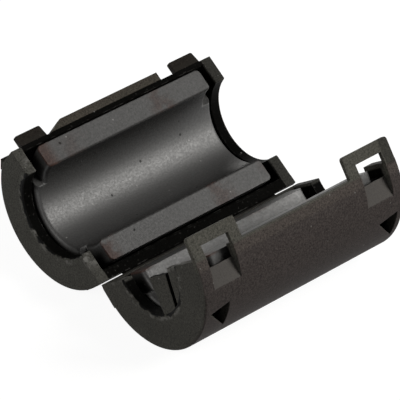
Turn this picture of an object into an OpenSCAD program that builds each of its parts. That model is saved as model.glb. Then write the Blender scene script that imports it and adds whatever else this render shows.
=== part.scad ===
// Clip-on ferrite bead, standing open on its two round backs.
// Each half is drawn in the closed frame: the cable runs along X, the halves part
// at z = 0, the latch is on +Y and the hinge on -Y. The base lies under z = 0.

/* [Ferrite cores] */
// Outer diameter of the two half cores put together
core_od = 20.5; // [18:0.1:26]
// Bore of the two half cores put together
bore_d = 13.2; // [10:0.1:14]
// Length of a core
core_l = 35.4; // [32:0.1:50]
// Rounding of the pressed edges
core_round = 0.7; // [0.3:0.1:1]
// Set-back of the core's end beside the parting face, for the hooks
notch_l = 1.4; // [0.8:0.1:2]
// Depth of that set-back below the parting face
notch_h = 3.6; // [2.5:0.1:4.5]
// Half of the air gap between the two cores' faces
face_gap = 0.05; // [0.02:0.01:0.1]
// Distance that the cores meet on the lid's side of the parting plane
core_shift = 0.35; // [0:0.05:0.5]

/* [Case] */
// Wall of the round back
case_wall = 1.6; // [1.4:0.1:2]
// Thickness of the end walls
end_wall = 1.8; // [1.3:0.1:2.5]
// Gap between a core and the round wall
core_fit = 0.45; // [0.2:0.05:0.8]
// Gap between a core's end and the end wall
core_end_fit = 0.55; // [0.2:0.05:1]
// Gap between a core and the ribs that it sits on
seat_fit = 0.1; // [0.05:0.01:0.15]
// Rounding of the outer end edges
rim_r = 0.35; // [0.2:0.05:1]
// Distance from the base's edge to the parting plane
base_edge_gap = 0.35; // [0.2:0.05:0.6]
// Distance from the lid's edge to the parting plane
lid_edge_gap = 0.05; // [0.02:0.01:0.4]
// Distance from the hinge-side edges to the parting plane
hinge_gap = 0.3; // [0.25:0.05:1.2]
// Width of a seat rib
rib_w = 1.2; // [0.8:0.1:2]
// Distance of the seat ribs from the middle
rib_x = 10; // [4:0.5:12]

/* [Cable holes] */
// Cable hole in the base's ends
base_hole_d = 14.4; // [13.4:0.1:15]
// Cable hole in the lid's ends
lid_hole_d = 13.4; // [13.3:0.1:15]
// Chamfer at the mouth of a cable hole
mouth_chamfer = 0.15; // [0.1:0.05:0.6]
// Thickness of the grip plates in the lid's near hole
grip_t = 1; // [0.6:0.1:1.4]
// Set-back of the grip plates from the end face
grip_set = 0.15; // [0.05:0.05:0.3]
// Free edge of the grip tongue, measured from the cable's axis
tongue_y = -0.35; // [-2:0.05:1.5]
// Distance from the tongue's tip to the parting plane
tongue_drop = 0.9; // [0.4:0.1:1.5]
// Width of the slit beside the tongue
slit_w = 0.8; // [0.3:0.05:1]
// Place of the slit at the parting plane
slit_top_y = 4.4; // [3.5:0.1:5]
// Place of the slit at the tongue's root
slit_root_y = 3.2; // [2.5:0.1:4]

/* [Latch] */
// Width of a latch loop
loop_w = 9.2; // [7.6:0.1:9.8]
// Reach of a loop past the parting plane
loop_reach = 3.45; // [3:0.05:4.2]
// Thickness of a loop
loop_t = 0.65; // [0.5:0.05:0.75]
// Width of the bar at the loop's end
loop_bar = 1.85; // [1.4:0.05:2.2]
// Width of the window in a loop
window_w = 5.2; // [4:0.1:5.6]
// Length of the window that goes through the wall
window_h = 3.6; // [3:0.1:4.4]
// Gap between a loop and the flat that it lies on
loop_fit = 0.15; // [0.1:0.05:0.25]
// Gap between a catch and the window's sides and bar
catch_fit = 0.2; // [0.1:0.05:0.4]
// Reach of a catch from its flat
catch_out = 1.95; // [1.3:0.05:2.2]
// Thickness of a catch at its nose
catch_nose = 0.6; // [0.4:0.05:0.8]
// Rounding of a catch's corners
catch_round = 0.3; // [0.2:0.1:0.8]
// Rounding of a loop's free corners
loop_round = 0.5; // [0.2:0.1:1]
// Length of the ramp below a window
ramp_l = 3.3; // [2:0.1:4]
// Depth that the ramp runs in towards the window
ramp_in = 0.1; // [0.05:0.05:0.3]
// Reach of the ledge past the round wall
ledge_out = 0.5; // [0.2:0.05:0.8]
// Height of the ledge's outer face
ledge_h = 1.4; // [0.8:0.1:2.5]
// Gap between a loop's tip and the shoulder under it
shoulder_fit = 0.35; // [0.2:0.05:1.2]
// Reach of the shoulder past the flat
shoulder_out = 0.6; // [0.4:0.05:0.8]
// Height over which the shoulder runs out into the round wall
shoulder_h = 1.45; // [0.8:0.05:2.5]
// Gap between the ledge's far end and the far loop
ledge_fit = 0.9; // [0.3:0.1:1.5]
// Gap between the ledge's near end and the near loop
ledge_near_fit = 0.3; // [0.2:0.1:1]
// Slant of the ledge's near end, over the wall's depth
ledge_slant = 1.7; // [0.5:0.1:1.8]

/* [Key holes] */
// Width of a three-cornered hole in the lid
key_w = 3.8; // [2:0.1:4.2]
// Height of a three-cornered hole
key_h = 5; // [3:0.1:6]
// Place of a hole round the back, from the parting plane
key_angle = 51; // [45:1:60]
// Distance from the lid's end to a hole's straight side, near end and far end
key_side_x = [4.8, 1.2]; // [1:0.1:6]

/* [Core hooks] */
// Reach of a hook over the core's shoulder
hook_over = 0.5; // [0.3:0.05:0.7]
// Width of a hook
hook_w = 1.8; // [1.2:0.1:2.4]
// Height of a hook
hook_h = 2.1; // [1.5:0.1:2.2]
// Gap between a hook and the core's shoulder
hook_fit = 0.1; // [0.05:0.01:0.2]

/* [Hinge] */
// Angle between the two parting planes as it stands open
open_angle = 109.5; // [60:0.5:150]
// Distance from the round wall to the hinge axis
hinge_off = 0.1; // [0.1:0.05:0.8]
// Thickness of the hinge film
film_t = 0.4; // [0.25:0.05:0.6]
// Length of the hinge film
film_l = 31; // [16:0.5:33]
// Reach of the hinge lips past the round wall
lip_out = 0.05; // [0.01:0.01:0.05]
// Height of a lip's outer face
lip_h = 0.8; // [0.6:0.1:1.5]
// Height over which a lip runs out into the round wall
flare_h = 3; // [1.5:0.1:4]

/* [Hidden] */
$fn = 96;

core_r = core_od / 2;
bore_r = bore_d / 2;
strip_l = core_l - 2 * notch_l;
cavity_r = core_r + core_fit;
cavity_l = core_l + 2 * core_end_fit;
case_r = cavity_r + case_wall;
case_l = cavity_l + 2 * end_wall;
// Reach of the cutting blocks, past everything
far = 2 * case_l;
// Overlap of fused shapes, and of cuts past a face
bite = 0.3;

// Loops lie a hair inside the round wall's outermost line
loop_inset = 0.05;
loop_y_out = case_r - loop_inset;
loop_y_in = loop_y_out - loop_t;
loop_x = (case_l - loop_w) / 2;
flat_y = loop_y_in - loop_fit;
bar_z = loop_reach - loop_bar;
window_top = window_h - bar_z;
ledge_x = case_l / 2 - loop_w - ledge_fit;
ledge_near_x = case_l / 2 - loop_w - ledge_near_fit;
shoulder_z = -loop_reach - shoulder_fit;
catch_w = window_w - 2 * catch_fit;
catch_foot = bar_z - catch_fit;
strip_mid_y = (core_r + max(bore_r, base_hole_d / 2)) / 2;

// As it stands open, each half leans by half of what is missing to flat
lean = (180 - open_angle) / 2;
hinge_y = -(case_r + hinge_off);
hinge_z = case_r + hinge_y * sin(lean);
film_drop = hinge_gap + film_t / 2;
film_y = (hinge_off - lip_out) * cos(lean) + film_drop * sin(lean);
film_z = (hinge_off - lip_out) * sin(lean) - film_drop * cos(lean);
film_r = film_y / sin(lean);

// Places a shape of the closed frame on the base as it stands
module on_base() {
    translate([0, 0, hinge_z]) rotate([lean, 0, 0]) translate([0, -hinge_y, 0]) children();
}

// Places a shape of the closed frame on the lid as it stands open
module on_lid() {
    translate([0, 0, hinge_z]) rotate([lean + open_angle, 0, 0]) translate([0, -hinge_y, 0]) children();
}

module below(z) {
    translate([-far, -far, z - 2 * far]) cube(2 * far);
}

module above(z) {
    translate([-far, -far, z]) cube(2 * far);
}

// Revolves a profile, drawn as radius and place along X, round the cable's axis
module revolve_x() {
    rotate([0, 90, 0]) rotate_extrude() children();
}

// Extrudes a profile, drawn in Y and Z, along X
module along_x(length) {
    rotate([90, 0, 90]) linear_extrude(length, center = true) children();
}

module rounded_rect(w, h, r) {
    translate([r, 0]) square([w - 2 * r, h]);
    translate([0, r]) square([w, h - 2 * r]);
    for (x = [r, w - r], y = [r, h - r]) translate([x, y]) circle(r);
}

// Whole ferrite tube with rounded edges
module core_tube(length) {
    revolve_x() translate([bore_r, -length / 2]) rounded_rect(core_r - bore_r, length, core_round);
}

// Lower half core: full length below the shoulders, shorter beside its face
module half_core(face_drop) {
    intersection() {
        core_tube(core_l);
        below(-notch_h);
    }
    difference() {
        intersection() {
            core_tube(strip_l);
            below(-face_drop);
        }
        below(-notch_h - bite);
    }
}

// Whole case: round wall, end walls and cable holes
module case_tube(hole_d) {
    hole_r = hole_d / 2;
    revolve_x() difference() {
        translate([hole_r - 2 * rim_r, -case_l / 2]) rounded_rect(case_r - hole_r + 2 * rim_r, case_l, rim_r);
        translate([0, -cavity_l / 2]) square([cavity_r, cavity_l]);
        translate([0, -case_l]) square([hole_r, 2 * case_l]);
        for (s = [-1, 1]) polygon([
            [hole_r - bite, s * (case_l / 2 - mouth_chamfer - bite)],
            [hole_r + mouth_chamfer + bite, s * (case_l / 2 + bite)],
            [hole_r - bite, s * (case_l / 2 + bite)],
        ]);
    }
}

// Ribs deep in the lower half that the core sits on
module seat_ribs() {
    intersection() {
        revolve_x() for (x = [-rib_x, rib_x])
            translate([core_r + seat_fit, x - rib_w / 2]) square([core_fit - seat_fit + bite, rib_w]);
        below(-core_r / 2);
    }
}

// Hooks on the end walls that hold the core down by its shoulders
module core_hooks() {
    shoulder_x = core_l / 2;
    hook_z = -notch_h + hook_fit;
    nose_h = 0.2 * hook_h;
    for (s = [-1, 1], y = [-strip_mid_y, strip_mid_y])
        translate([0, y + hook_w / 2, 0]) rotate([90, 0, 0]) linear_extrude(hook_w) polygon([
            [s * (shoulder_x - hook_over), hook_z],
            [s * (shoulder_x - hook_over), hook_z + nose_h],
            [s * cavity_l / 2, hook_z + hook_h],
            [s * (cavity_l / 2 + bite), hook_z + hook_h],
            [s * (cavity_l / 2 + bite), hook_z],
        ]);
}

function on_circle(r, z) = [sqrt(r * r - z * z), z];

// Rail along the wall on +Y: its outer points from the top down, then a foot on the round wall
module edge_rail(outer, foot_z) {
    inner_r = cavity_r + bite;
    inner = [for (z = [foot_z, foot_z / 2, outer[0][1]]) on_circle(inner_r, z)];
    along_x(case_l) polygon(concat(outer, [on_circle(case_r, foot_z)], inner));
}

// Lip that carries the hinge film
module hinge_lip() {
    face_foot = -hinge_gap - lip_h;
    mirror([0, 1, 0]) edge_rail([
        [case_r + lip_out, -hinge_gap], [case_r + lip_out, face_foot],
    ], face_foot - flare_h);
}

// Ledge along the latch edge, and the shoulder under the loops' tips
module latch_rail() {
    edge_rail([
        [case_r + ledge_out, -base_edge_gap],
        [case_r + ledge_out, -base_edge_gap - ledge_h],
        [flat_y + shoulder_out, shoulder_z],
    ], shoulder_z - shoulder_h);
}

// Lower half of the case as both halves share it
module half_case(hole_d, edge_gap) {
    difference() {
        intersection() {
            case_tube(hole_d);
            below(-edge_gap);
        }
        translate([-far, -2 * far, -hinge_gap]) cube(2 * far);
    }
    hinge_lip();
    seat_ribs();
    core_hooks();
}

// Cuts the flats that the loops lie on, and leaves the ledge between them
module latch_flats() {
    depth = case_r - flat_y;
    translate([0, 0, shoulder_z]) linear_extrude(case_r) {
        polygon([
            [ledge_x, flat_y], [far, flat_y],
            [far, case_r + depth], [ledge_x, case_r + depth],
        ]);
        polygon([
            [-ledge_near_x - ledge_slant, flat_y], [-far, flat_y],
            [-far, case_r + depth], [-ledge_near_x + ledge_slant, case_r + depth],
        ]);
    }
}

// Catch lugs that snap into the loops' windows
module catches() {
    root_y = flat_y - bite;
    nose_y = flat_y + catch_out;
    for (s = [-1, 1]) translate([s * loop_x, 0, 0]) intersection() {
        along_x(catch_w) polygon([
            [root_y, -base_edge_gap],
            [flat_y, -base_edge_gap],
            [nose_y, -catch_foot + catch_nose],
            [nose_y, -catch_foot],
            [root_y, -catch_foot],
        ]);
        translate([-catch_w / 2, root_y - catch_round, -case_r])
            linear_extrude(case_r) rounded_rect(catch_w, nose_y - root_y + catch_round, catch_round);
    }
}

// One latch loop, from the case's end at x = 0 inwards; the bevel clears the slanted ledge
module loop_plate(bevel) {
    height = loop_reach + 0.8 * sqrt(case_r * case_r - loop_y_out * loop_y_out);
    intersection() {
        translate([0, 0, -loop_reach]) linear_extrude(height) polygon([
            [0, loop_y_in], [loop_w - bevel, loop_y_in],
            [loop_w, loop_y_out], [0, loop_y_out],
        ]);
        translate([0, case_r, -loop_reach]) rotate([90, 0, 0])
            linear_extrude(case_r) rounded_rect(loop_w, height + loop_round, loop_round);
    }
}

// Square end of the round wall that carries a loop, where the rim isn't rounded
module loop_root() {
    root_z = case_r * sin(25);
    intersection() {
        revolve_x() translate([cavity_r, -case_l / 2]) square([case_wall, case_l]);
        translate([0, 0, lid_edge_gap]) for (s = [-1, 1])
            translate([s * loop_x - loop_w / 2, loop_y_in - 2 * loop_t, 0]) cube([loop_w, far, root_z]);
    }
}

// Windows through the loops and the wall, each running out in a ramp on the round back
module loop_windows() {
    ramp_foot = on_circle(case_r, window_top + ramp_l);
    ramp_y = ramp_foot[0] - ramp_in;
    // The cut runs on past the foot, out of the round wall
    past = 0.2;
    ramp_end = ramp_foot + past * [ramp_in, ramp_l];
    for (s = [-1, 1]) translate([s * loop_x, 0, 0]) {
        translate([-window_w / 2, cavity_r - 2 * case_wall, -bar_z]) cube([window_w, far, window_h]);
        along_x(window_w) polygon([
            [ramp_y, -bar_z], [ramp_y, window_top],
            ramp_end, [far, ramp_end[1]], [far, -bar_z],
        ]);
    }
}

// Three-cornered holes in the lid's round back
module key_holes() {
    for (i = [0, 1]) {
        side_x = (2 * i - 1) * (case_l / 2 - key_side_x[i]);
        rotate([key_angle, 0, 0]) translate([side_x, cavity_r - case_wall, 0])
            rotate([-90, 0, 0]) linear_extrude(far) polygon([
                [0, -key_h / 2], [0, key_h / 2], [-key_w, key_h / 3],
            ]);
    }
}

// Slit line of the grip plates: place across the cable at a height above the parting plane
function slit_y(z) = slit_top_y + (slit_root_y - slit_top_y) * z / (lid_hole_d / 2);

// Grip plates in the latch side of the lid's near cable hole: a tongue, a slit and a fixed plate
module grip_plates() {
    hole_r = lid_hole_d / 2;
    top = 2 * hole_r;
    plate_x = case_l / 2 - grip_set - grip_t / 2;
    translate([-plate_x, 0, 0]) intersection() {
        rotate([0, 90, 0]) cylinder(r = hole_r + mouth_chamfer + bite, h = grip_t, center = true);
        along_x(grip_t) {
            polygon([
                [tongue_y, tongue_drop], [slit_y(tongue_drop) - slit_w / 2, tongue_drop],
                [slit_y(hole_r) - slit_w / 2, hole_r], [slit_y(hole_r) - slit_w / 2, top], [tongue_y, top],
            ]);
            polygon([
                [slit_y(lid_edge_gap) + slit_w / 2, lid_edge_gap], [slit_y(hole_r) + slit_w / 2, hole_r],
                [slit_y(hole_r) + slit_w / 2, top], [top, top], [top, lid_edge_gap],
            ]);
        }
    }
}

module base_shell() {
    color("#2d2c2a") on_base() {
        difference() {
            union() {
                half_case(base_hole_d, base_edge_gap);
                latch_rail();
            }
            latch_flats();
        }
        catches();
    }
}

module lid_shell() {
    bevel = ledge_slant;
    color("#2f2c2b") on_lid() {
        difference() {
            union() {
                mirror([0, 0, 1]) half_case(lid_hole_d, lid_edge_gap);
                loop_root();
                translate([-case_l / 2, 0, 0]) loop_plate(bevel);
                translate([case_l / 2, 0, 0]) mirror([1, 0, 0]) loop_plate(0);
            }
            loop_windows();
            key_holes();
        }
        grip_plates();
    }
}

module hinge_film() {
    wedge = 3 * film_r;
    color("#262524") translate([0, 0, hinge_z + film_z + film_r * cos(lean)])
        along_x(film_l) intersection() {
            difference() {
                circle(film_r + film_t / 2);
                circle(film_r - film_t / 2);
            }
            polygon([
                [0, 0], [wedge * sin(lean), -wedge * cos(lean)],
                [0, -2 * wedge], [-wedge * sin(lean), -wedge * cos(lean)],
            ]);
        }
}

module base_core() {
    color("#605f5d") on_base() half_core(face_gap - core_shift);
}

module lid_core() {
    color("#605f5d") on_lid() mirror([0, 0, 1]) half_core(face_gap + core_shift);
}

base_shell();
lid_shell();
hinge_film();
base_core();
lid_core();
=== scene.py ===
"""Looks of the open clip-on ferrite bead: moulded case, pressed ferrite cores, bending film hinge."""
import math
from types import SimpleNamespace

import bpy
from mathutils import Matrix, Vector


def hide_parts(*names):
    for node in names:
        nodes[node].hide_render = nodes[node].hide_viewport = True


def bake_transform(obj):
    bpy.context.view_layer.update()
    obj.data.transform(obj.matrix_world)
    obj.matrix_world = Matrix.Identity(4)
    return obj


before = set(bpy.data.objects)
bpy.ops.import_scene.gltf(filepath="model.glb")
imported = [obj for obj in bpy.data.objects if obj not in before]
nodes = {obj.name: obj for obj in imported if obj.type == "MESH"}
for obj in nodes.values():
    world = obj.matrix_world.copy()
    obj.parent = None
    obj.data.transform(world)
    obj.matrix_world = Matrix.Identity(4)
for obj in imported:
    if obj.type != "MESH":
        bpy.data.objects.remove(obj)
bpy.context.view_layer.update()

# Sizes of the part that the looks follow
MM = 0.001
OPEN_ANGLE = 109.5
CORE_R = 10.25 * MM
CORE_HALF_L = 17.7 * MM
BORE_R = 6.6 * MM
NOTCH_L = 1.4 * MM
FACE_GAP = 0.05 * MM
CORE_SHIFT = 0.35 * MM
CORE_FIT = 0.45 * MM
CORE_END_FIT = 0.55 * MM
CASE_WALL = 1.6 * MM
END_WALL = 1.8 * MM
BASE_HOLE_R = 7.2 * MM
LID_HOLE_R = 6.7 * MM
LOOP_W = 9.2 * MM
WINDOW_W = 5.2 * MM
LATCH_FLAT = 11.45 * MM
HINGE_OFF = 0.1 * MM
HINGE_GAP = 0.3 * MM
LIP_OUT = 0.05 * MM
FILM_L = 31 * MM
FILM_T = 0.4 * MM

# Sizes and places that follow from them
FACE_HALF_L = CORE_HALF_L - NOTCH_L
BASE_FACE_DEPTH = FACE_GAP - CORE_SHIFT
LID_FACE_DEPTH = FACE_GAP + CORE_SHIFT
CAVITY_R = CORE_R + CORE_FIT
CAVITY_HALF_L = CORE_HALF_L + CORE_END_FIT
CASE_R = CAVITY_R + CASE_WALL
CASE_HALF_L = CAVITY_HALF_L + END_WALL
LOOP_X = CASE_HALF_L - LOOP_W / 2
LEAN = math.radians((180 - OPEN_ANGLE) / 2)
AXIS_Y = (CASE_R + HINGE_OFF) * math.cos(LEAN)
AXIS_Z = CASE_R
BASE_AXIS = Vector((0, AXIS_Y, AXIS_Z))
HINGE_Z = AXIS_Z - (CASE_R + HINGE_OFF) * math.sin(LEAN)


# Shader nodes, and the values that both materials share

BEVEL_SAMPLES = 6
EDGE_GAIN = 3.0
SPECK_CORE = 0.6
PATCH_CORE = 0.3
PICK_FADE = 0.01
CLOUD_LOW, CLOUD_HIGH = 0.3, 0.7
GRAIN_RISE = 0.06 * MM
MIX_FACTOR, MIX_A, MIX_B, MIX_RESULT = 0, 6, 7, 2


def new_material(name):
    mat = bpy.data.materials.new(name)
    mat.use_nodes = True
    tree = mat.node_tree
    tree.nodes.clear()
    out = tree.nodes.new("ShaderNodeOutputMaterial")
    bsdf = tree.nodes.new("ShaderNodeBsdfPrincipled")
    tree.links.new(bsdf.outputs["BSDF"], out.inputs["Surface"])
    return mat, tree, bsdf


def add(tree, kind, **settings):
    node = tree.nodes.new(kind)
    for key, value in settings.items():
        setattr(node, key, value)
    return node


def fill(tree, socket, value):
    """Links a socket, or sets a number or colour on it."""
    if isinstance(value, bpy.types.NodeSocket):
        tree.links.new(value, socket)
    else:
        socket.default_value = (*value, 1) if isinstance(value, tuple) else value


def noise(tree, coords, scale, detail, rough):
    node = add(tree, "ShaderNodeTexNoise")
    node.inputs["Scale"].default_value = scale
    node.inputs["Detail"].default_value = detail
    node.inputs["Roughness"].default_value = rough
    tree.links.new(coords, node.inputs["Vector"])
    return node.outputs["Fac"]


def ramp(tree, factor, low, high):
    """Blends two colours, each given with its place along the factor."""
    node = add(tree, "ShaderNodeValToRGB")
    for element, (position, colour) in zip(node.color_ramp.elements, (low, high)):
        element.position = position
        element.color = (*colour, 1)
    tree.links.new(factor, node.inputs["Fac"])
    return node.outputs["Color"]


def grey(position, level):
    return position, (level, level, level)


def span(tree, factor, low, high):
    node = add(tree, "ShaderNodeMapRange")
    node.inputs["To Min"].default_value = low
    node.inputs["To Max"].default_value = high
    tree.links.new(factor, node.inputs["Value"])
    return node.outputs["Result"]


def mix(tree, factor, a, b, blend="MIX"):
    node = add(tree, "ShaderNodeMix", data_type="RGBA", blend_type=blend)
    fill(tree, node.inputs[MIX_FACTOR], factor)
    fill(tree, node.inputs[MIX_A], a)
    fill(tree, node.inputs[MIX_B], b)
    return node.outputs[MIX_RESULT]


def tinted(tree, factor, colour, tint):
    return mix(tree, factor, colour, tint, "MULTIPLY")


def math_node(tree, operation, a, b=0.0):
    node = add(tree, "ShaderNodeMath", operation=operation)
    fill(tree, node.inputs[0], a)
    fill(tree, node.inputs[1], b)
    return node.outputs[0]


def chained(tree, operation, parts):
    result = parts[0]
    for part in parts[1:]:
        result = math_node(tree, operation, result, part)
    return result


def total(tree, *parts):
    return chained(tree, "ADD", parts)


def product(tree, *parts):
    return chained(tree, "MULTIPLY", parts)


def largest(tree, *parts):
    return chained(tree, "MAXIMUM", parts)


def less(tree, a, b):
    return math_node(tree, "SUBTRACT", a, b)


def without(tree, mask, share):
    """1 away from the mask, and less by the share inside it."""
    return less(tree, 1.0, product(tree, mask, share))


def step(tree, value, low, high):
    """0 below low, 1 above high, smooth between; low may be the larger one."""
    node = add(tree, "ShaderNodeMapRange", interpolation_type="SMOOTHSTEP")
    node.inputs["From Min"].default_value = low
    node.inputs["From Max"].default_value = high
    tree.links.new(value, node.inputs["Value"])
    return node.outputs["Result"]


def distance(tree, value, centre):
    return math_node(tree, "ABSOLUTE", less(tree, value, centre))


def near_to(tree, value, centre, reach):
    """1 close to the centre, fading to 0 at the reach on either side."""
    return step(tree, distance(tree, value, centre), reach, PATCH_CORE * reach)


def edge_mask(tree, radius):
    """A rounded normal, and a mask that is 1 on sharp edges and 0 on faces."""
    bevel = add(tree, "ShaderNodeBevel", samples=BEVEL_SAMPLES)
    bevel.inputs["Radius"].default_value = radius
    geometry = add(tree, "ShaderNodeNewGeometry")
    dot = add(tree, "ShaderNodeVectorMath", operation="DOT_PRODUCT")
    tree.links.new(bevel.outputs["Normal"], dot.inputs[0])
    tree.links.new(geometry.outputs["Normal"], dot.inputs[1])
    turned = add(tree, "ShaderNodeMapRange")
    turned.inputs["From Min"].default_value = 1.0
    turned.inputs["From Max"].default_value = 1.0 - 1.0 / EDGE_GAIN
    tree.links.new(dot.outputs["Value"], turned.inputs["Value"])
    return bevel.outputs["Normal"], turned.outputs["Result"]


def bump(tree, height, strength, rise, normal):
    node = add(tree, "ShaderNodeBump")
    node.inputs["Strength"].default_value = strength
    node.inputs["Distance"].default_value = rise
    tree.links.new(height, node.inputs["Height"])
    tree.links.new(normal, node.inputs["Normal"])
    return node.outputs["Normal"]


def specks(tree, coords, scale, size, share):
    """Sparse round specks: 1 inside a speck, in the given share of the cells."""
    cells = add(tree, "ShaderNodeTexVoronoi")
    cells.inputs["Scale"].default_value = scale
    tree.links.new(coords, cells.inputs["Vector"])
    pick = add(tree, "ShaderNodeSeparateColor")
    tree.links.new(cells.outputs["Color"], pick.inputs[0])
    chosen = step(tree, pick.outputs[0], 1.0 - share, 1.0 - share + PICK_FADE)
    return product(tree, step(tree, cells.outputs["Distance"], size, size * SPECK_CORE), chosen)


def half_place(tree, coords):
    """Where a point lies in its own half, as at rest: x along the cable, distance from its middle,
    distance from the cable axis, distance towards the latch, and depth below the parting plane."""
    xyz = add(tree, "ShaderNodeSeparateXYZ")
    tree.links.new(coords, xyz.inputs[0])
    x = xyz.outputs["X"]
    across = less(tree, math_node(tree, "ABSOLUTE", xyz.outputs["Y"]), AXIS_Y)
    height = less(tree, xyz.outputs["Z"], AXIS_Z)
    squares = total(tree, product(tree, across, across), product(tree, height, height))
    cosine, sine = math.cos(LEAN), math.sin(LEAN)
    return SimpleNamespace(
        x=x,
        along=math_node(tree, "ABSOLUTE", x),
        radius=math_node(tree, "SQRT", squares),
        latch=total(tree, product(tree, across, cosine), product(tree, height, sine)),
        depth=total(tree, product(tree, across, sine), product(tree, height, -cosine)),
    )


# Case plastic: each pair of lengths gives where a mask starts and where it is full

BACK_RADIUS = (CASE_R - 0.15 * MM, CASE_R - 0.05 * MM)
BACK_DEPTH = (0.2 * MM, 0.5 * MM)
RAMP_LATCH = (10.88 * MM, 10.92 * MM)
RAMP_RADIUS = (CASE_R - 0.06 * MM, CASE_R - 0.12 * MM)
RAMP_SIDE = (WINDOW_W / 2 - 0.07 * MM, WINDOW_W / 2 - 0.13 * MM)
PLATE_LATCH = (LATCH_FLAT - 0.05 * MM, LATCH_FLAT + 0.05 * MM)
PLATE_DEPTH = (2.2 * MM, 1.6 * MM)
PLATE_END_ALONG = (12.4 * MM, 12.6 * MM)
INSIDE_RADIUS = (CAVITY_R + 0.25 * MM, CAVITY_R + 0.15 * MM)
INSIDE_ALONG = (CASE_HALF_L - 0.15 * MM, CASE_HALF_L - 0.25 * MM)
INSIDE_DEPTH = (0.5 * MM, 0.9 * MM)
LIP_ACROSS = (CAVITY_R - 0.2 * MM, CAVITY_R - 0.1 * MM)
LIP_ALONG = (CAVITY_HALF_L + 0.05 * MM, CAVITY_HALF_L - 0.15 * MM)
LIP_DEPTH = (0.75 * MM, 0.6 * MM)
LIP_LATCH = (LATCH_FLAT + 0.1 * MM, LATCH_FLAT)
RIM_ALONG = (CAVITY_HALF_L - 0.15 * MM, CAVITY_HALF_L + 0.15 * MM)
RIM_DEPTH = (1.0 * MM, 0.4 * MM)
RIM_SCUFF_RADIUS = (10.4 * MM, 8.6 * MM)
END_ALONG = (CASE_HALF_L - 0.35 * MM, CASE_HALF_L - 0.15 * MM)
FAR_X = (0.0, 5.0 * MM)
NEAR_X = (5.0 * MM, 0.0)

# Measured outwards from the hole's edge, and for the last two less a noise times the raggedness
HOLE_START = (-0.1 * MM, 0.0)
FLASH_REACH = (1.1 * MM, 0.5 * MM)
RAGGEDNESS = 3.0 * MM
# How far out the painted shadow ring around the near holes reaches
HOLE_SHADOW_REACH = (-1.25 * MM, -1.4 * MM)
FLASH_START = (-1.3 * MM, -1.15 * MM)

# Colours, and how strongly each place or finish shows
BACK_TINT_AND_SHADE_SHARE = 0.9
RAMP_PAINTED_LIGHT_SHARE = 0.9
# Painted shade: near black for the inside surfaces and hole walls, where shade falls
INSIDE_PAINTED_SHADE = (0.04, 0.04, 0.04)
FAR_RIM_TINT = (0.5, 0.5, 0.5)
CASE_GRAIN_DARK = grey(0.28, 0.35)
CASE_GRAIN_LIGHT = grey(0.72, 1.65)
RAMP_GRAIN_LOSS = 0.7
DUST_EDGE = (0.68, 0.78)
DUST_SHARE = 0.3
DUST_COLOUR = (0.085, 0.082, 0.077)
CASE_SPECK_SHARE = 0.6
CASE_SPECK_COLOUR = (0.20, 0.195, 0.185)
CHIP_EDGE = (0.48, 0.64)
EDGE_WEAR = 0.55
RIM_WEAR = 0.75
WORN_COLOUR = (0.17, 0.166, 0.157)
# Painted shadow: near black around the near holes, standing for the shaded hole wall
HOLE_SHADOW_COLOUR = (0.003, 0.003, 0.003)
CASE_ROUGH_LOW, CASE_ROUGH_HIGH = 0.55, 0.75
RAMP_SMOOTHER = 0.12
CASE_EDGE_R = 0.2 * MM
CASE_BUMP = 0.4
# Painted shade: the inside surfaces and hole walls lose most of their sheen
INSIDE_SHADE_DULLER = 0.95
CASE_SPECULAR = 0.08


def case_places(tree, coords, hole_r):
    """Masks of the places where the case's colour changes, by finish or by painted light and shade."""
    at = half_place(tree, coords)
    back = product(tree, step(tree, at.radius, *BACK_RADIUS), step(tree, at.depth, *BACK_DEPTH))
    ramps = product(
        tree,
        step(tree, at.latch, *RAMP_LATCH),
        step(tree, at.radius, *RAMP_RADIUS),
        step(tree, distance(tree, at.along, LOOP_X), *RAMP_SIDE),
    )
    plates = product(tree, step(tree, at.latch, *PLATE_LATCH), step(tree, at.depth, *PLATE_DEPTH))
    # Inside surfaces and hole walls, which get painted shade
    inside = product(
        tree,
        step(tree, at.radius, *INSIDE_RADIUS),
        step(tree, at.along, *INSIDE_ALONG),
        step(tree, at.depth, *INSIDE_DEPTH),
    )
    # Top edges of the long walls, which get painted shade
    lips = product(
        tree,
        step(tree, math_node(tree, "ABSOLUTE", at.latch), *LIP_ACROSS),
        step(tree, at.along, *LIP_ALONG),
        step(tree, at.depth, *LIP_DEPTH),
        step(tree, at.latch, *LIP_LATCH),
    )
    rim = product(tree, step(tree, at.along, *RIM_ALONG), step(tree, at.depth, *RIM_DEPTH))
    near = step(tree, at.x, *NEAR_X)
    past_hole = less(tree, at.radius, hole_r)
    near_end = product(tree, step(tree, at.along, *END_ALONG), near, step(tree, past_hole, *HOLE_START))
    edge_wobble = product(tree, noise(tree, coords, scale=420, detail=4.0, rough=0.6), RAGGEDNESS)
    ragged = less(tree, past_hole, edge_wobble)
    return SimpleNamespace(
        back=back,
        ramps=ramps,
        plates=plates,
        plate_ends=product(tree, plates, step(tree, at.along, *PLATE_END_ALONG)),
        inside=inside,
        lips=lips,
        far_rim=product(tree, rim, step(tree, at.x, *FAR_X)),
        near_rim=product(tree, rim, near, step(tree, at.radius, *RIM_SCUFF_RADIUS)),
        # Ragged ring on the near end face around the hole, painted black as shadow
        painted_hole_shadow=product(tree, near_end, step(tree, ragged, *HOLE_SHADOW_REACH)),
        flash=product(
            tree, near_end, step(tree, past_hole, *FLASH_REACH), step(tree, ragged, *FLASH_START)),
    )


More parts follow.
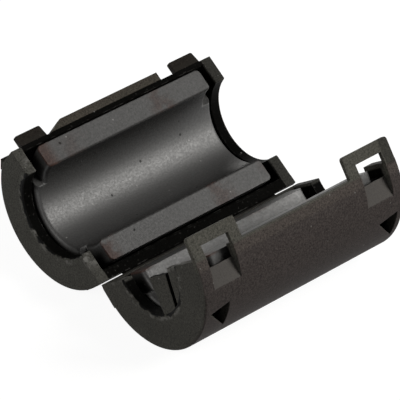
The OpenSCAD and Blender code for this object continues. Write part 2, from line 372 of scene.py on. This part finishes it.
def case_colour(tree, coords, on, grain, edge, tints):
    """Clouded nylon, tinted place by place, partly with painted light and shade, then grain, dust, specks,
    pale scuffs and a ragged ring of painted shadow around the near holes.
    """
    cloud = noise(tree, coords, scale=150, detail=4.0, rough=0.6)
    dust = noise(tree, coords, scale=2100, detail=1.0, rough=0.5)
    scuff = noise(tree, coords, scale=700, detail=4.0, rough=0.65)
    colour = ramp(tree, cloud, (CLOUD_LOW, tints["dark"]), (CLOUD_HIGH, tints["light"]))
    # The round back is browner and darker; the darkening is painted shade
    colour = mix(tree, product(tree, on.back, BACK_TINT_AND_SHADE_SHARE), colour, tints["back"])
    # Painted light: the lid's ramps are paler, as faces turned to the lamps
    colour = mix(tree, product(tree, on.ramps, RAMP_PAINTED_LIGHT_SHARE), colour, tints["ramp"])
    # Latch plates: painted light makes the lid's paler; the base's are browner and a little darker, partly
    # painted shade
    colour = tinted(tree, on.plates, colour, tints["plate"])
    # Painted shade: the base's catches are darkened
    colour = tinted(tree, on.plate_ends, colour, tints["plate_end"])
    # Painted shade: the long walls' top edges are darkened, nearly black on the base
    colour = tinted(tree, on.lips, colour, tints["lip"])
    colour = tinted(tree, on.far_rim, colour, FAR_RIM_TINT)
    # Painted shade: the inside surfaces and hole walls are blackened
    colour = tinted(tree, on.inside, colour, INSIDE_PAINTED_SHADE)
    grained = without(tree, on.ramps, RAMP_GRAIN_LOSS)
    colour = tinted(tree, grained, colour, ramp(tree, grain, CASE_GRAIN_DARK, CASE_GRAIN_LIGHT))
    dusty = product(tree, step(tree, dust, *DUST_EDGE), DUST_SHARE)
    colour = mix(tree, dusty, colour, DUST_COLOUR)
    speckled = product(tree, specks(tree, coords, scale=620, size=0.10, share=0.35), CASE_SPECK_SHARE)
    colour = mix(tree, speckled, colour, CASE_SPECK_COLOUR)
    chips = step(tree, scuff, *CHIP_EDGE)
    worn = largest(
        tree,
        product(tree, edge, chips, EDGE_WEAR),
        product(tree, on.near_rim, chips, RIM_WEAR),
        product(tree, on.flash, chips, RIM_WEAR),
    )
    colour = mix(tree, worn, colour, WORN_COLOUR)
    # Painted shadow: the ragged ring around the near holes is laid near black
    return mix(tree, on.painted_hole_shadow, colour, HOLE_SHADOW_COLOUR)


def case_plastic(name, hole_r, **tints):
    """Dark moulded nylon with a fine spark-eroded grain. The round back is a little browner and darker,
    the darkening being painted shade; the lid's ramps and latch plates are paler with painted light; the
    inside and the lips are blacker with painted shade, and the far rims are blacker; the near rims and the
    edges have pale scuffs, and a ragged black ring of painted shadow lies around each near hole."""
    mat, tree, bsdf = new_material(name)
    coords = add(tree, "ShaderNodeTexCoord").outputs["Object"]
    on = case_places(tree, coords, hole_r)
    grain = noise(tree, coords, scale=3900, detail=3.0, rough=0.65)
    normal, edge = edge_mask(tree, CASE_EDGE_R)
    tree.links.new(case_colour(tree, coords, on, grain, edge, tints), bsdf.inputs["Base Color"])
    rough = less(
        tree, span(tree, grain, CASE_ROUGH_LOW, CASE_ROUGH_HIGH), product(tree, on.ramps, RAMP_SMOOTHER))
    tree.links.new(rough, bsdf.inputs["Roughness"])
    tree.links.new(bump(tree, grain, CASE_BUMP, GRAIN_RISE, normal), bsdf.inputs["Normal"])
    # The painted shade on the lips and the inside also takes away their sheen
    lip_shade_duller = 1.0 - tints["lip"][0]
    dull = largest(tree, product(tree, on.lips, lip_shade_duller), product(tree, on.inside, INSIDE_SHADE_DULLER))
    tree.links.new(less(tree, 1.0, dull), bsdf.inputs["Specular Tint"])
    bsdf.inputs["Specular IOR Level"].default_value = CASE_SPECULAR
    return mat


# Ferrite

BORE_RADIUS = (BORE_R + 0.4 * MM, BORE_R + 0.15 * MM)
BORE_DEPTH = (1.0 * MM, 6.0 * MM)
NOTCH_ALONG = (FACE_HALF_L - 0.05 * MM, FACE_HALF_L + 0.05 * MM)
NOTCH_RADIUS = (BORE_R + 0.05 * MM, BORE_R + 0.2 * MM)
NOTCH_DEPTH = (4.4 * MM, 3.9 * MM)
STAIN_BELOW_FACE = (0.45 * MM, 0.1 * MM)
END_STAIN_X = -16.6 * MM
END_STAIN_REACH = 3.4 * MM
END_STAIN_EDGE = (0.27, 0.47)
SIDE_STAIN_X = 7.0 * MM
SIDE_STAIN_REACH = 3.2 * MM
SIDE_STAIN_EDGE = (0.38, 0.58)
SIDE_STAIN_SHARE = 0.6
CLOUD_STAIN_EDGE = (0.58, 0.72)
CLOUD_STAIN_SHARE = 0.35

FERRITE_DARK = (0.0165, 0.0162, 0.0156)
FERRITE_LIGHT = (0.0215, 0.0210, 0.0204)
STAIN_COLOUR = (0.048, 0.0225, 0.0165)
STAIN_COLOUR_SHARE = 0.8
STAIN_DULLER = 0.6
FERRITE_GRAIN_DARK = grey(0.25, 0.4)
FERRITE_GRAIN_LIGHT = grey(0.75, 1.6)
FERRITE_SPECK_SHARE = 0.4
FERRITE_SPECK_COLOUR = (0.28, 0.275, 0.265)
PIT_ROUGHER = 0.3
PIT_DULLER = 0.5
# Painted shade: the notch floors lose most of their sheen
NOTCH_SHADE_DULLER = 0.7
FERRITE_ROUGH_LOW, FERRITE_ROUGH_HIGH = 0.75, 0.39
FERRITE_EDGE_R = 0.18 * MM
FERRITE_BUMP = 0.35
FERRITE_IOR = 1.979


def stains(tree, coords, at, face_depth):
    """Brown stains on the ground faces: at the near end, in a patch further along, and in faint clouds."""
    cloudy = noise(tree, coords, scale=130, detail=3.0, rough=0.55)
    rust = noise(tree, coords, scale=330, detail=3.0, rough=0.6)
    end = product(
        tree, near_to(tree, at.x, END_STAIN_X, END_STAIN_REACH), step(tree, rust, *END_STAIN_EDGE))
    side = product(
        tree,
        near_to(tree, at.x, SIDE_STAIN_X, SIDE_STAIN_REACH),
        step(tree, rust, *SIDE_STAIN_EDGE),
        SIDE_STAIN_SHARE,
    )
    clouds = product(tree, step(tree, cloudy, *CLOUD_STAIN_EDGE), CLOUD_STAIN_SHARE)
    on_face = step(tree, less(tree, at.depth, face_depth), *STAIN_BELOW_FACE)
    return product(tree, largest(tree, end, side, clouds), on_face)


def ferrite_sheen(tree, at, face_sheen, rim_sheen_and_shade, bore_sheen):
    """Strength of the sheen on the ground faces, at the bore's rims and deep in the bore."""
    # A low rim sheen, as on the base, is painted shade on the bore's upper sides
    bore = step(tree, at.radius, *BORE_RADIUS)
    deep = step(tree, at.depth, *BORE_DEPTH)
    in_bore = total(tree, product(tree, deep, bore_sheen - rim_sheen_and_shade), rim_sheen_and_shade - face_sheen)
    return total(tree, product(tree, bore, in_bore), face_sheen)


def ferrite(name, face_depth, face_sheen, rim_sheen_and_shade, bore_sheen):
    """Pressed and sintered ferrite: dark and finely grained, with a broad sheen, pale specks, dull pits
    and brown stains; less sheen at the base's bore rims and on the notch floors is painted shade."""
    mat, tree, bsdf = new_material(name)
    coords = add(tree, "ShaderNodeTexCoord").outputs["Object"]
    at = half_place(tree, coords)
    cloud = noise(tree, coords, scale=220, detail=4.0, rough=0.6)
    grain = noise(tree, coords, scale=3000, detail=3.0, rough=0.65)
    stained = stains(tree, coords, at, face_depth)
    pits = specks(tree, coords, scale=430, size=0.11, share=0.45)
    # Notch floors, which get painted shade
    notch = product(
        tree,
        step(tree, at.along, *NOTCH_ALONG),
        step(tree, at.radius, *NOTCH_RADIUS),
        step(tree, at.depth, *NOTCH_DEPTH),
    )
    colour = ramp(tree, cloud, (CLOUD_LOW, FERRITE_DARK), (CLOUD_HIGH, FERRITE_LIGHT))
    colour = mix(tree, product(tree, stained, STAIN_COLOUR_SHARE), colour, STAIN_COLOUR)
    colour = tinted(tree, 1.0, colour, ramp(tree, grain, FERRITE_GRAIN_DARK, FERRITE_GRAIN_LIGHT))
    speckled = product(tree, specks(tree, coords, scale=560, size=0.10, share=0.35), FERRITE_SPECK_SHARE)
    colour = mix(tree, speckled, colour, FERRITE_SPECK_COLOUR)
    tree.links.new(colour, bsdf.inputs["Base Color"])
    rough = total(
        tree, span(tree, grain, FERRITE_ROUGH_LOW, FERRITE_ROUGH_HIGH), product(tree, pits, PIT_ROUGHER))
    tree.links.new(rough, bsdf.inputs["Roughness"])
    sheen = product(
        tree,
        ferrite_sheen(tree, at, face_sheen, rim_sheen_and_shade, bore_sheen),
        without(tree, stained, STAIN_DULLER),
        without(tree, pits, PIT_DULLER),
        without(tree, notch, NOTCH_SHADE_DULLER),
    )
    tree.links.new(sheen, bsdf.inputs["Specular Tint"])
    bsdf.inputs["IOR"].default_value = FERRITE_IOR
    normal, _ = edge_mask(tree, FERRITE_EDGE_R)
    tree.links.new(bump(tree, grain, FERRITE_BUMP, GRAIN_RISE, normal), bsdf.inputs["Normal"])
    return mat


# Materials on the pieces

BASE_PLASTIC = case_plastic(
    "case_plastic",
    hole_r=BASE_HOLE_R,
    dark=(0.0480, 0.0470, 0.0410),
    light=(0.0620, 0.0605, 0.0535),
    # Round back: browner, and darker as painted shade
    back=(0.050, 0.046, 0.041),
    ramp=(0.055, 0.053, 0.048),
    # Ledge and lugs: browner, and a little darker as painted shade
    plate=(0.90, 0.82, 0.76),
    # Catches: darkened as painted shade
    plate_end=(0.40, 0.40, 0.40),
    # Painted shade, nearly black, on the long walls' top edges
    lip=(0.05, 0.05, 0.05),
)
LID_PLASTIC = case_plastic(
    "case_plastic_lid",
    hole_r=LID_HOLE_R,
    dark=(0.0430, 0.0418, 0.0365),
    light=(0.0560, 0.0542, 0.0480),
    # Round back: browner, and darker as painted shade
    back=(0.045, 0.0370, 0.0350),
    # Ramps: paler, as painted light
    ramp=(0.072, 0.066, 0.061),
    # Loops and latch plates: paler, as painted light
    plate=(1.3, 1.3, 1.24),
    plate_end=(1.0, 1.0, 1.0),
    # A little painted shade on the long walls' top edges
    lip=(0.8, 0.8, 0.8),
)
# The base's low rim sheen is painted shade on the bore's upper sides
BASE_FERRITE = ferrite("ferrite", BASE_FACE_DEPTH, face_sheen=0.56, rim_sheen_and_shade=0.08, bore_sheen=1.0)
LID_FERRITE = ferrite("ferrite_lid", LID_FACE_DEPTH, face_sheen=0.56, rim_sheen_and_shade=0.93, bore_sheen=0.93)


def dress(obj, mat):
    obj.data.materials.clear()
    obj.data.materials.append(mat)


dress(nodes["base_shell"], BASE_PLASTIC)
dress(nodes["lid_shell"], LID_PLASTIC)
dress(nodes["base_core"], BASE_FERRITE)
dress(nodes["lid_core"], LID_FERRITE)
dress(nodes["hinge_film"], BASE_PLASTIC)


# Film hinge: a finely divided strip that bends between the two shells

FILM_STEPS = 16
FILM_COLUMNS = 60
FILM_WAIST = 0.12
FILM_SMOOTH_ANGLE = math.radians(40)


def film_ends():
    """Y and Z of the film's edge on the base's lip; the lid's edge mirrors it."""
    reach = HINGE_OFF - LIP_OUT
    drop = HINGE_GAP + FILM_T / 2
    end_y = reach * math.cos(LEAN) + drop * math.sin(LEAN)
    end_z = HINGE_Z + reach * math.sin(LEAN) - drop * math.cos(LEAN)
    return end_y, end_z


def film_points(end_y, end_z):
    """Rows of points on the two sides of an arc from lip to lip, thinner in the middle."""
    radius = end_y / math.sin(LEAN)
    centre_z = end_z + radius * math.cos(LEAN)
    points = []
    for i in range(FILM_STEPS + 1):
        t = i / FILM_STEPS
        angle = LEAN * (1 - 2 * t)
        half_t = FILM_T * (0.5 - FILM_WAIST * math.sin(math.pi * t) ** 2)
        for side in (1, -1):
            r = radius + side * half_t
            for j in range(FILM_COLUMNS + 1):
                x = FILM_L / 2 * (2 * j / FILM_COLUMNS - 1)
                points.append((x, r * math.sin(angle), centre_z - r * math.cos(angle)))
    return points


def film_faces():
    def at(i, side, j):
        return (i * 2 + side) * (FILM_COLUMNS + 1) + j

    faces = []
    for i in range(FILM_STEPS):
        for j in range(FILM_COLUMNS):
            faces.append((at(i, 0, j), at(i + 1, 0, j), at(i + 1, 0, j + 1), at(i, 0, j + 1)))
            faces.append((at(i, 1, j), at(i, 1, j + 1), at(i + 1, 1, j + 1), at(i + 1, 1, j)))
        for j in (0, FILM_COLUMNS):
            quad = (at(i, 0, j), at(i, 1, j), at(i + 1, 1, j), at(i + 1, 0, j))
            faces.append(quad if j == 0 else quad[::-1])
    for i in (0, FILM_STEPS):
        for j in range(FILM_COLUMNS):
            quad = (at(i, 0, j), at(i, 0, j + 1), at(i, 1, j + 1), at(i, 1, j))
            faces.append(quad if i == 0 else quad[::-1])
    return faces


def make_film():
    end_y, end_z = film_ends()
    mesh = bpy.data.meshes.new("film")
    mesh.from_pydata(film_points(end_y, end_z), [], film_faces())
    mesh.update()
    for poly in mesh.polygons:
        poly.use_smooth = True
    mesh.set_sharp_from_angle(angle=FILM_SMOOTH_ANGLE)
    obj = bpy.data.objects.new("film", mesh)
    bpy.context.scene.collection.objects.link(obj)
    dress(obj, BASE_PLASTIC)
    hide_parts("hinge_film")
    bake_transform(obj)


make_film()


# Stage: a pale floor that keeps the shadow, a faint white sky and soft studio lamps

FLOOR_SIZE = 30.0
FLOOR_DROP = 0.2 * MM
FLOOR_GREY = (0.16, 0.16, 0.16)
FLOOR_GLOW = 0.92
SKY_STRENGTH = 0.05
WHITE = (1, 1, 1)
LAMP_COLOUR = (1.0, 0.985, 0.955)
MIDDLE = Vector((0, 0, 10 * MM))


def seen_directly(tree):
    """1 for camera, glossy and transmission rays."""
    path = add(tree, "ShaderNodeLightPath")
    rays = ("Is Camera Ray", "Is Glossy Ray", "Is Transmission Ray")
    return largest(tree, *(path.outputs[ray] for ray in rays))


def floor_material():
    """Grey that takes the shadow, with a white glow on top for rays that see the floor directly."""
    mat = bpy.data.materials.new("floor")
    mat.use_nodes = True
    tree = mat.node_tree
    tree.nodes.clear()
    out = add(tree, "ShaderNodeOutputMaterial")
    diffuse = add(tree, "ShaderNodeBsdfDiffuse")
    fill(tree, diffuse.inputs["Color"], FLOOR_GREY)
    glow = add(tree, "ShaderNodeEmission")
    fill(tree, glow.inputs["Color"], WHITE)
    fill(tree, glow.inputs["Strength"], FLOOR_GLOW)
    both = add(tree, "ShaderNodeAddShader")
    tree.links.new(diffuse.outputs[0], both.inputs[0])
    tree.links.new(glow.outputs[0], both.inputs[1])
    switch = add(tree, "ShaderNodeMixShader")
    tree.links.new(seen_directly(tree), switch.inputs[0])
    tree.links.new(diffuse.outputs[0], switch.inputs[1])
    tree.links.new(both.outputs[0], switch.inputs[2])
    tree.links.new(switch.outputs[0], out.inputs["Surface"])
    return mat


def make_floor():
    bpy.ops.mesh.primitive_plane_add(size=FLOOR_SIZE, location=(0, 0, -FLOOR_DROP))
    floor = bpy.context.object
    floor.name = "floor"
    dress(floor, floor_material())


def make_world():
    world = bpy.data.worlds.new("studio")
    bpy.context.scene.world = world
    world.use_nodes = True
    sky = world.node_tree.nodes["Background"]
    sky.inputs["Color"].default_value = (*WHITE, 1)
    sky.inputs["Strength"].default_value = SKY_STRENGTH


def area_light(name, spot, size, power):
    data = bpy.data.lights.new(name, "AREA")
    data.shape = "SQUARE"
    data.size = size
    data.energy = power
    data.color = LAMP_COLOUR
    obj = bpy.data.objects.new(name, data)
    obj.location = spot
    aim = MIDDLE - Vector(spot)
    obj.rotation_euler = aim.to_track_quat("-Z", "Y").to_euler()
    bpy.context.scene.collection.objects.link(obj)


make_floor()
make_world()
area_light("key", spot=(0.29, -0.295, 0.292), size=0.26, power=2.4)
area_light("fill", spot=(-0.44, 0.04, 0.22), size=0.30, power=1.0)
area_light("back", spot=(0.20, 0.46, 0.16), size=0.30, power=1.0)


# Camera, as the photograph was taken

AZIMUTH = math.radians(-43.34)
ELEVATION = math.radians(33.807)
ROLL = math.radians(0.616)
PICTURE_PX = 400
FOCAL_PX = 3737.7
SENSOR_MM = 36
AXIS_RIGHT = -6.755 * MM
AXIS_UP = 5.427 * MM
AXIS_AWAY = 561.119 * MM
CLIP_START = 0.01
CLIP_END = 10


def make_camera():
    """Sets the camera so that the middle of the base's axis lies right, up and away from it as fitted."""
    level = Vector((math.cos(AZIMUTH), math.sin(AZIMUTH), 0))
    back = Vector((
        math.sin(AZIMUTH) * math.cos(ELEVATION),
        -math.cos(AZIMUTH) * math.cos(ELEVATION),
        math.sin(ELEVATION),
    ))
    right = level * math.cos(ROLL) + back.cross(level) * math.sin(ROLL)
    up = back.cross(right)
    data = bpy.data.cameras.new("camera")
    data.sensor_width = SENSOR_MM
    data.lens = FOCAL_PX * SENSOR_MM / PICTURE_PX
    data.clip_start = CLIP_START
    data.clip_end = CLIP_END
    cam = bpy.data.objects.new("camera", data)
    spot = BASE_AXIS - (AXIS_RIGHT * right + AXIS_UP * up - AXIS_AWAY * back)
    turn = Matrix((right, up, back)).transposed().to_4x4()
    cam.matrix_world = Matrix.Translation(spot) @ turn
    bpy.context.scene.collection.objects.link(cam)
    bpy.context.scene.camera = cam


make_camera()
bpy.context.scene.view_settings.view_transform = "Standard"
